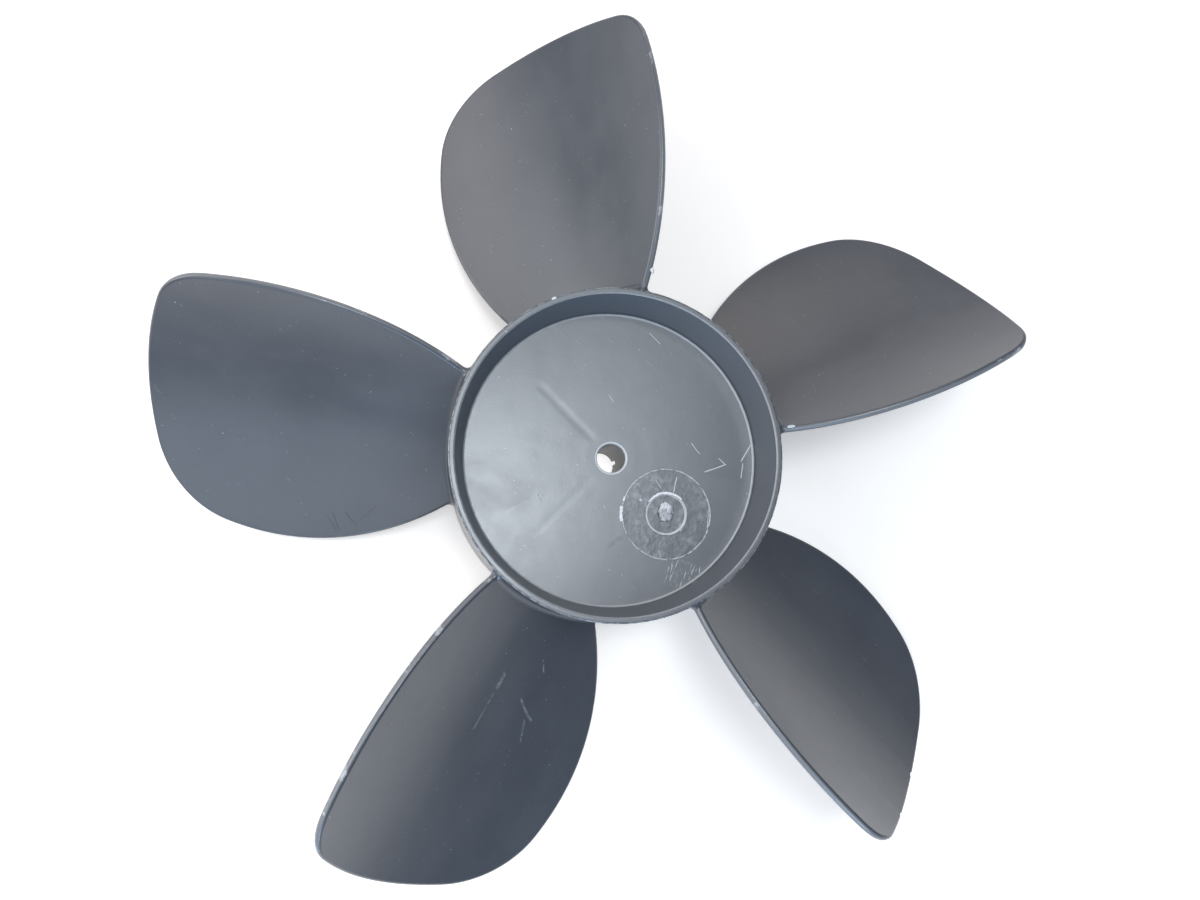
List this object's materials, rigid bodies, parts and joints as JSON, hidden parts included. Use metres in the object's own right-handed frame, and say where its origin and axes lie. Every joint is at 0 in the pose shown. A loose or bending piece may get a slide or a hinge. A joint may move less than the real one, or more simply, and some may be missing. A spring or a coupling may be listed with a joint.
{
  "type": "axial fan impeller",
  "caption": "Moulded plastic axial fan impeller: dished round hub with a central shaft bore and broad cambered blades with rounded corners.",
  "frame": {"origin": "centre of the boss's rear face, on the shaft axis", "axes": "+Z along the shaft axis towards the open front dish; +X and +Y across the rotor"},
  "size_m": [0.2442, 0.2439, 0.0538],
  "materials": {
    "plastic": "satin dark grey moulded plastic"
  },
  "bodies": {
    "root": {"impeller": "plastic"}
  },
  "joints": []
}
